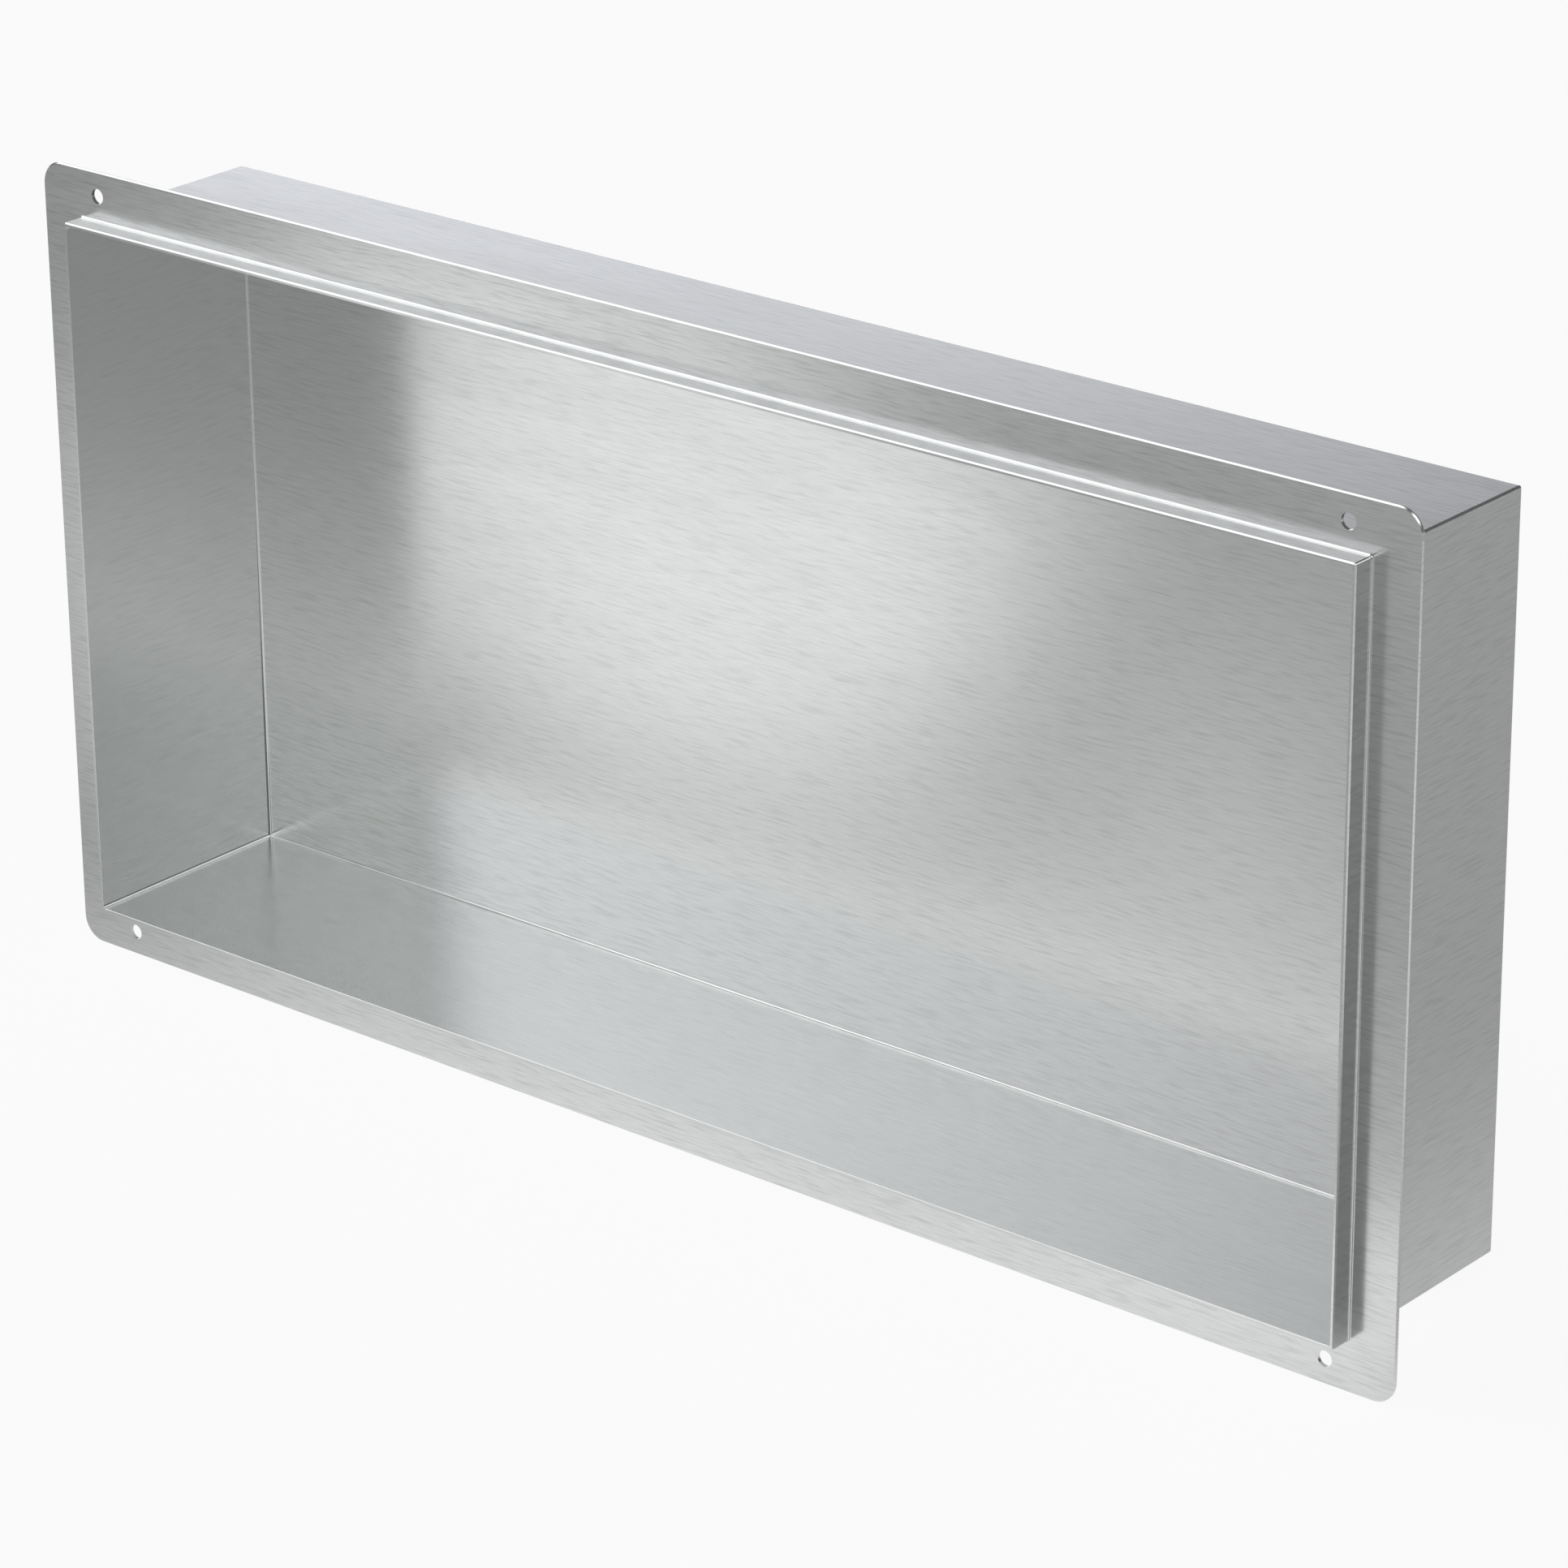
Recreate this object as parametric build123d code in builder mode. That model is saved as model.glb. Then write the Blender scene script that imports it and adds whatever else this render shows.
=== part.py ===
from build123d import *
import os

# Shower niche insert: a box folded from stainless sheet, open to the room, with a flat screw flange
# welded round it a little behind its front rim. Tile is laid over the flange and up to the rim.
# Millimetres, +X right, +Y into the wall, +Z up. The origin is the middle of the flange's back face,
# which lies on the wall.

# Sheet, and the clear inside of the box
sheet = 1.5
inside_width = 610.0
inside_height = 290.0
inside_depth = 97.5

# How far the rim stands in front of the flange: the thickness of a tile and its adhesive
tile_lip = 9.5

# Flange round the box
flange_width = 20.0
flange_corner_radius = 10.0

# Screw holes on the flange's middle line, set in from its left and right ends
screw_hole_diameter = 6.2
screw_from_end = 30.0

# Folds of the box, and the ground weld between box and flange
fold_inside_radius = 1.2
fold_outside_radius = 1.0
weld_radius = 1.0

# Deburred sheet edges: the rim's outside and the flange's outline, then the rim's inside,
# which is only just broken
edge_break = 0.5
rim_inside_break = 0.1

# Worked out from the sizes above
box_width = inside_width + 2 * sheet
box_height = inside_height + 2 * sheet
box_depth = inside_depth + sheet
rim_stand = sheet + tile_lip
flange_overall_width = box_width + 2 * flange_width
flange_overall_height = box_height + 2 * flange_width
screw_pitch_across = flange_overall_width - 2 * screw_from_end
screw_pitch_up = box_height + flange_width

wall_plane = Plane.XZ
rim_plane = wall_plane.offset(rim_stand)


def faces_from_room(part):
    """The flat faces that look along Y: rim, flange front, flange back, inside back, outside back."""
    return part.faces().filter_by(Axis.Y).sort_by(Axis.Y)


with BuildPart() as niche_body:
    # Box: a block as large as the folded box, hollowed from the rim to the thickness of the sheet
    with BuildSketch(rim_plane) as box_outline:
        Rectangle(box_width, box_height)
    extrude(amount=-box_depth)
    opening = niche_body.faces().sort_by(Axis.Y)[0]
    offset(amount=-sheet, openings=opening)

    # Folds: the eight edges inside the box, then the eight outside
    rim, inside_back, outside_back = faces_from_room(niche_body)
    corners_by_length = niche_body.edges().filter_by(Axis.Y).group_by(SortBy.LENGTH)
    fillet(inside_back.edges() + corners_by_length[0], fold_inside_radius)
    fillet(outside_back.edges() + corners_by_length[-1], fold_outside_radius)

    # Flange: a flat frame that slides over the box, with a screw hole near each corner
    with BuildSketch(wall_plane) as flange_outline:
        RectangleRounded(flange_overall_width, flange_overall_height, flange_corner_radius)
        RectangleRounded(box_width, box_height, fold_outside_radius, mode=Mode.SUBTRACT)
        with GridLocations(screw_pitch_across, screw_pitch_up, 2, 2):
            Circle(screw_hole_diameter / 2, mode=Mode.SUBTRACT)
    extrude(amount=sheet)

    # Weld: a ground fillet all round the box, in front of the flange and behind it
    rim, flange_front, flange_back, inside_back, outside_back = faces_from_room(niche_body)
    seams = [face.inner_wires().sort_by(SortBy.LENGTH)[-1] for face in (flange_front, flange_back)]
    fillet([edge for seam in seams for edge in seam.edges()], weld_radius)

    # Deburred edges: the rim, and the flange's outline in front and behind; the holes stay as punched
    rim, flange_front, flange_back, inside_back, outside_back = faces_from_room(niche_body)
    outlines = [face.outer_wire() for face in (rim, flange_front, flange_back)]
    rim_inside = rim.inner_wires()[0]
    chamfer([edge for outline in outlines for edge in outline.edges()], edge_break)
    chamfer(rim_inside.edges(), rim_inside_break)

niche_body.part.label = "niche_body"

os.makedirs("parts", exist_ok=True)
export_step(niche_body.part, "parts/niche_body.step")
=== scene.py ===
import math

import bmesh
import bpy
from mathutils import Matrix, Vector


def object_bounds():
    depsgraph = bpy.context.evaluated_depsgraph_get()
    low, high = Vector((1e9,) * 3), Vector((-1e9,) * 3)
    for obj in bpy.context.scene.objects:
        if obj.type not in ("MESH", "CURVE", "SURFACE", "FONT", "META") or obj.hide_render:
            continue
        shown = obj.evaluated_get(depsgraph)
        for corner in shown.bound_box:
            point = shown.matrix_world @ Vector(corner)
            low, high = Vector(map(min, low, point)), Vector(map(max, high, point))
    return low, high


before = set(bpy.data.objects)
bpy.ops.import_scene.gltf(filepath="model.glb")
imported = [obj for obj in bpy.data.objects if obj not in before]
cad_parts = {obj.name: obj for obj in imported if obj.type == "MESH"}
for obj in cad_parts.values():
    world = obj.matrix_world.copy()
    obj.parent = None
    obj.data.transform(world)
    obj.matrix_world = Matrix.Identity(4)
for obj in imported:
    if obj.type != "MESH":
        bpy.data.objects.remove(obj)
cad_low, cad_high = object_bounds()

# Niche body
# The whole niche: a box folded from 1.5 mm stainless sheet with a flat screw flange welded round it and
# ground smooth. Every panel was belt-brushed along its length, so the fine scratches run level everywhere.
MM = 0.001
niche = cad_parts["niche_body"]


def linear(hex_colour):
    """An sRGB hex colour as linear RGBA."""
    parts = [int(hex_colour[i:i + 2], 16) / 255 for i in (0, 2, 4)]
    return (*[c / 12.92 if c <= 0.04045 else ((c + 0.055) / 1.055) ** 2.4 for c in parts], 1.0)


def add(tree, kind, inputs, **settings):
    """One shader node with its settings; an input is a plain value or another node's output."""
    node = tree.nodes.new("ShaderNode" + kind)
    for name, value in settings.items():
        setattr(node, name, value)
    for name, value in inputs.items():
        if isinstance(value, bpy.types.NodeSocket):
            tree.links.new(value, node.inputs[name])
        else:
            node.inputs[name].default_value = value
    return node


# Brushed stainless steel, a number 4 finish: short fine scratches that all run one way over a soft mirror,
# so that reflections blur and break up into streaks, with a darker, deeper scratch here and there. Real
# scratches are about 0.05 mm wide, too fine to show, so they are drawn about 1 mm wide, as the bundles
# that the eye sees.
STEEL = "EFF1F0"
STEEL_WORN = "C2C4C3"
ROUGH_LEAST, ROUGH_MOST = 0.19, 0.23
BRUSH_SPREAD = 0.2
SCRATCH_LENGTH = 10 * MM
SCRATCH_WIDTH = 0.8 * MM
SCRATCH_DEPTH = 0.005 * MM
DEEP_LENGTH = 18 * MM
DEEP_WIDTH = 1.1 * MM
DEEP_SHARE = 0.5
PATCH_LENGTH = 110 * MM
PATCH_WIDTH = 16 * MM
WANDER = 0.6 * MM
WANDER_LENGTH = 50 * MM

steel = bpy.data.materials.new("brushed_stainless_steel")
steel.use_nodes = True
tree = steel.node_tree
tree.nodes.clear()

# Scratches run along X on the back, floor, top and flange and along Y on the side walls, and wander a
# little. A face is a side wall, or level, when this much of its normal or more lies along X, or Z.
MOSTLY = 0.7
place = add(tree, "TexCoord", {}).outputs["Object"]
wander = add(tree, "TexNoise", {"Vector": place, "Scale": 1 / WANDER_LENGTH, "Detail": 0.0}).outputs["Fac"]
wander = add(tree, "Math", {0: wander, 1: WANDER}, operation="MULTIPLY").outputs[0]
from_middle = add(tree, "VectorMath", {0: place}, operation="ABSOLUTE")
from_middle = add(tree, "SeparateXYZ", {"Vector": from_middle.outputs[0]})
place = add(tree, "SeparateXYZ", {"Vector": place})
facing = add(tree, "VectorMath", {0: add(tree, "NewGeometry", {}).outputs["Normal"]}, operation="ABSOLUTE")
facing = add(tree, "SeparateXYZ", {"Vector": facing.outputs[0]})
is_side = add(tree, "Math", {0: facing.outputs["X"], 1: MOSTLY}, operation="GREATER_THAN").outputs[0]
is_level = add(tree, "Math", {0: facing.outputs["Z"], 1: MOSTLY}, operation="GREATER_THAN").outputs[0]
along = add(tree, "Mix", {"Factor": is_side, "A": place.outputs["X"], "B": place.outputs["Y"]})
across = add(tree, "Mix", {"Factor": is_level, "A": place.outputs["Z"], "B": place.outputs["Y"]})
across = add(tree, "Math", {0: across.outputs["Result"], 1: wander}, operation="ADD")
grain = add(tree, "CombineXYZ", {"X": along.outputs["Result"], "Y": across.outputs[0]}).outputs[0]


def streaks(length, width, detail):
    """Noise drawn out along the brushing: marks of about that length and width, from 0 to 1."""
    drawn = add(tree, "VectorMath", {0: grain, 1: (1 / length, 1 / width, 0)}, operation="MULTIPLY")
    noise = {"Vector": drawn.outputs[0], "Scale": 1.0, "Detail": detail, "Roughness": 0.6}
    return add(tree, "TexNoise", noise, noise_dimensions="2D").outputs["Fac"]


scratches = streaks(SCRATCH_LENGTH, SCRATCH_WIDTH, 2)
deep = streaks(DEEP_LENGTH, DEEP_WIDTH, 1)
patches = streaks(PATCH_LENGTH, PATCH_WIDTH, 2)

# 0 in a scratch and 1 between them; only the lower half of the deep noise shows, as separate marks
scratches = add(tree, "MapRange", {"Value": scratches, "From Min": 0.2, "From Max": 0.8}).outputs["Result"]
deep = add(tree, "MapRange", {"Value": deep, "From Min": 0.25, "From Max": 0.5}).outputs["Result"]
marks = add(tree, "Mix", {"Factor": DEEP_SHARE, "A": scratches, "B": deep}).outputs["Result"]

# The flange is brushed coarsest and the inside walls and floor finest. The flange lies outside the middle
# of the box's sheet, and the inside faces within it. The marks fade to their mean, so that no face
# comes out brighter than another.
BRUSHED_FLANGE = 0.58
BRUSHED_BOX = 0.45
BRUSHED_INSIDE = 0.25
MARKS_MEAN = 0.67
MID_SHEET_X = 306 * MM
MID_SHEET_Z = 146 * MM
TO_FLANGE = 0.7 * MM
TO_INSIDE = -0.5 * MM
past_x = add(tree, "Math", {0: from_middle.outputs["X"], 1: MID_SHEET_X}, operation="SUBTRACT")
past_z = add(tree, "Math", {0: from_middle.outputs["Z"], 1: MID_SHEET_Z}, operation="SUBTRACT")
past = add(tree, "Math", {0: past_x.outputs[0], 1: past_z.outputs[0]}, operation="MAXIMUM").outputs[0]
on_flange = add(tree, "Math", {0: past, 1: TO_FLANGE}, operation="GREATER_THAN").outputs[0]
within = add(tree, "Math", {0: past, 1: TO_INSIDE}, operation="LESS_THAN").outputs[0]
on_wall = add(tree, "Math", {0: is_side, 1: is_level}, operation="MAXIMUM").outputs[0]
on_wall = add(tree, "Math", {0: on_wall, 1: within}, operation="MULTIPLY").outputs[0]
brushed = add(tree, "Mix", {"Factor": on_flange, "A": BRUSHED_BOX, "B": BRUSHED_FLANGE}).outputs["Result"]
brushed = add(tree, "Mix", {"Factor": on_wall, "A": brushed, "B": BRUSHED_INSIDE}).outputs["Result"]
bright = add(tree, "Mix", {"Factor": brushed, "A": MARKS_MEAN, "B": marks}).outputs["Result"]

tone = add(tree, "Mix", {
    "Factor": bright, "A": linear(STEEL_WORN), "B": linear(STEEL)}, data_type="RGBA")
gloss = add(tree, "MapRange", {
    "Value": patches, "From Min": 0.3, "From Max": 0.7, "To Min": ROUGH_LEAST, "To Max": ROUGH_MOST})
bump = add(tree, "Bump", {"Height": marks, "Strength": 1.0, "Distance": SCRATCH_DEPTH})
spread = add(tree, "Mix", {"Factor": is_level, "A": (0, 0, 1), "B": (0, 1, 0)}, data_type="VECTOR")
shader = add(tree, "BsdfPrincipled", {
    "Base Color": tone.outputs["Result"], "Metallic": 1.0, "Roughness": gloss.outputs["Result"],
    "Anisotropic": BRUSH_SPREAD, "Normal": bump.outputs["Normal"], "Tangent": spread.outputs["Result"]})
add(tree, "OutputMaterial", {"Surface": shader.outputs["BSDF"]})
niche.material_slots[0].material = steel

# Floor
# White background paper, level with the lowest edge of the flange. It is white to the camera and in
# reflections, and a part of it stays plain matt paper, which keeps the niche's soft shadow.
PAPER = "F8F8F8"
PAPER_SIZE = 30.0
PAPER_GLOW = 0.92
mesh = bmesh.new()
bmesh.ops.create_grid(mesh, x_segments=1, y_segments=1, size=PAPER_SIZE / 2)
bmesh.ops.translate(mesh, verts=mesh.verts, vec=(0, 0, cad_low.z))
paper_mesh = bpy.data.meshes.new("floor")
mesh.to_mesh(paper_mesh)
mesh.free()
floor = bpy.data.objects.new("floor", paper_mesh)
bpy.context.scene.collection.objects.link(floor)
paper = bpy.data.materials.new("white_paper")
paper.use_nodes = True
tree = paper.node_tree
tree.nodes.clear()
ray = add(tree, "LightPath", {}).outputs
seen = add(tree, "Math", {0: ray["Is Camera Ray"], 1: ray["Is Glossy Ray"]}, operation="MAXIMUM")
seen = add(tree, "Math", {0: seen.outputs[0], 1: ray["Is Transmission Ray"]}, operation="MAXIMUM")
seen = add(tree, "Math", {0: seen.outputs[0], 1: PAPER_GLOW}, operation="MULTIPLY")
matt = add(tree, "BsdfDiffuse", {"Color": linear(PAPER)})
glow = add(tree, "Emission", {"Color": linear("FFFFFF"), "Strength": 1.0})
mixed = add(tree, "MixShader", {0: seen.outputs[0], 1: matt.outputs["BSDF"], 2: glow.outputs["Emission"]})
add(tree, "OutputMaterial", {"Surface": mixed.outputs["Shader"]})
paper_mesh.materials.append(paper)

# Glowing reflection board
# A sheet lies on the paper round the niche and glows at its own grey, lit by nothing. Only reflections
# show it, so it paints the steel's darker greys as painted reflection. It glows darker at the far left,
# paler at the right and in a strip in front, and white at the niche's foot and off to the front left,
# where it paints highlights into the steel. A narrow dark strip lies over it at the front right, which
# paints shade into the steel's reflection. Each of these is an oval: its grey, its middle in mm, its turn
# in degrees, its two radii in mm and how soft its edge is.
BOARD_SIZE = 8.0
BOARD_THICK = 0.5 * MM
BOARD_GLOW = 0.39
BOARD_OVALS = (
    (0.29, (-1180, -760), 45, (400, 300), 0.50),
    (0.79, (639, -220), -25, (543, 128), 0.25),
    (0.53, (-95, -310), 55, (160, 60), 0.50),
    (1.00, (-33, 198), -60, (315, 252), 1.00),
    (1.00, (-565, -500), 47, (520, 172), 0.33),
    (0.25, (639, -394), -49.5, (481, 88), 0.06),
)


def oval(tree, point, middle, turn, radii, soft):
    """A soft oval, 1 inside and 0 outside; soft is the half-width of its edge as a share of its radii."""
    spot = add(tree, "Mapping", {
        "Vector": point, "Location": middle, "Rotation": (0, 0, math.radians(turn)), "Scale": radii},
        vector_type="TEXTURE")
    spot = add(tree, "VectorMath", {0: spot.outputs[0]}, operation="LENGTH")
    edge = {"From Min": 1 - soft, "From Max": 1 + soft, "To Min": 1.0, "To Max": 0.0}
    return add(tree, "MapRange", {"Value": spot.outputs["Value"], **edge},
               interpolation_type="SMOOTHSTEP").outputs["Result"]


mesh = bmesh.new()
bmesh.ops.create_grid(mesh, x_segments=1, y_segments=1, size=BOARD_SIZE / 2)
bmesh.ops.translate(mesh, verts=mesh.verts, vec=(0, 0, cad_low.z + BOARD_THICK))
board_mesh = bpy.data.meshes.new("glowing_reflection_board")
mesh.to_mesh(board_mesh)
mesh.free()
board = bpy.data.objects.new("glowing_reflection_board", board_mesh)
bpy.context.scene.collection.objects.link(board)
board.visible_camera = False
board.visible_diffuse = False
board.visible_transmission = False
board.visible_shadow = False
reflection_card = bpy.data.materials.new("glowing_reflection_card")
reflection_card.use_nodes = True
tree = reflection_card.node_tree
tree.nodes.clear()
# The ovals are flat: their radius in height is too large to matter. Later ones lie over earlier ones.
ANY_HEIGHT = 1e6
place = add(tree, "TexCoord", {}).outputs["Object"]
grey = BOARD_GLOW
for shade, (x, y), turn, (long, wide), soft in BOARD_OVALS:
    shape = oval(tree, place, (x * MM, y * MM, 0), turn, (long * MM, wide * MM, ANY_HEIGHT), soft)
    grey = add(tree, "Mix", {"Factor": shape, "A": grey, "B": shade}).outputs["Result"]
# The grey is the sheet's own glow strength: painted reflection and painted shade for the steel, not a
# lamp.
surface = add(tree, "Emission", {"Strength": grey})
add(tree, "OutputMaterial", {"Surface": surface.outputs[0]})
board_mesh.materials.append(reflection_card)

# Light
# A dim studio room with five soft panels: a tall one and a small one at the front right, a low wide one at
# the front left, a higher one above it that draws the white lines along the niche's upper edges, and a low
# one behind at the left. A panel is an oval in the room: its direction in degrees (round from the front to
# the right, and up), its two radii as seen from the niche, how soft its edge is, its strength and colour.
ROOM_LEVEL = 0.16
PANEL_DEPTH = 1.0
PANELS = (
    ((33.7, 33.9), (0.20, 0.40), 0.25, 1.50, "FFFFFF"),
    ((58, 46), (0.16, 0.16), 0.40, 1.35, "FFFFFF"),
    ((-40, 16), (0.22, 0.28), 0.26, 0.73, "FCFAFF"),
    ((-62, 42), (0.32, 0.34), 0.33, 1.57, "FFFFFF"),
    ((220.5, 4.6), (0.31, 0.22), 0.35, 1.64, "F7F8FF"),
)
room = bpy.data.worlds.new("room")
room.use_nodes = True
tree = room.node_tree
tree.nodes.clear()
look = add(tree, "TexCoord", {}).outputs["Generated"]
sky = add(tree, "Background", {"Strength": ROOM_LEVEL})
for (round_to, up), (wide, high), soft, strength, colour in PANELS:
    level = math.cos(math.radians(up))
    middle = (math.sin(math.radians(round_to)) * level, -math.cos(math.radians(round_to)) * level,
              math.sin(math.radians(up)))
    shape = oval(tree, look, middle, round_to, (wide, PANEL_DEPTH, high), soft)
    lit = add(tree, "Math", {0: shape, 1: strength}, operation="MULTIPLY")
    panel = add(tree, "Background", {"Color": linear(colour), "Strength": lit.outputs[0]})
    sky = add(tree, "AddShader", {0: sky.outputs[0], 1: panel.outputs[0]})
add(tree, "OutputWorld", {"Surface": sky.outputs[0]})
bpy.context.scene.world = room

# Camera
# From the front right and above, as the photograph looks at the niche. Angles are in degrees.
AZIMUTH = 40.06
ELEVATION = 22.42
ROLL = -0.50
DISTANCE = 2274 * MM
AIM = Vector((32.3, 20.1, -13.1)) * MM
LENS = 140.8
SENSOR = 36.0
back = Vector((
    math.sin(math.radians(AZIMUTH)) * math.cos(math.radians(ELEVATION)),
    -math.cos(math.radians(AZIMUTH)) * math.cos(math.radians(ELEVATION)),
    math.sin(math.radians(ELEVATION))))
camera_data = bpy.data.cameras.new("camera")
camera_data.lens = LENS
camera_data.sensor_width = SENSOR
camera = bpy.data.objects.new("camera", camera_data)
camera_turn = (-back).to_track_quat("-Z", "Y").to_matrix() @ Matrix.Rotation(math.radians(ROLL), 3, "Z")
camera.location = AIM + back * DISTANCE
camera.rotation_euler = camera_turn.to_euler()
bpy.context.scene.collection.objects.link(camera)
bpy.context.scene.camera = camera
bpy.context.scene.view_settings.view_transform = "Standard"
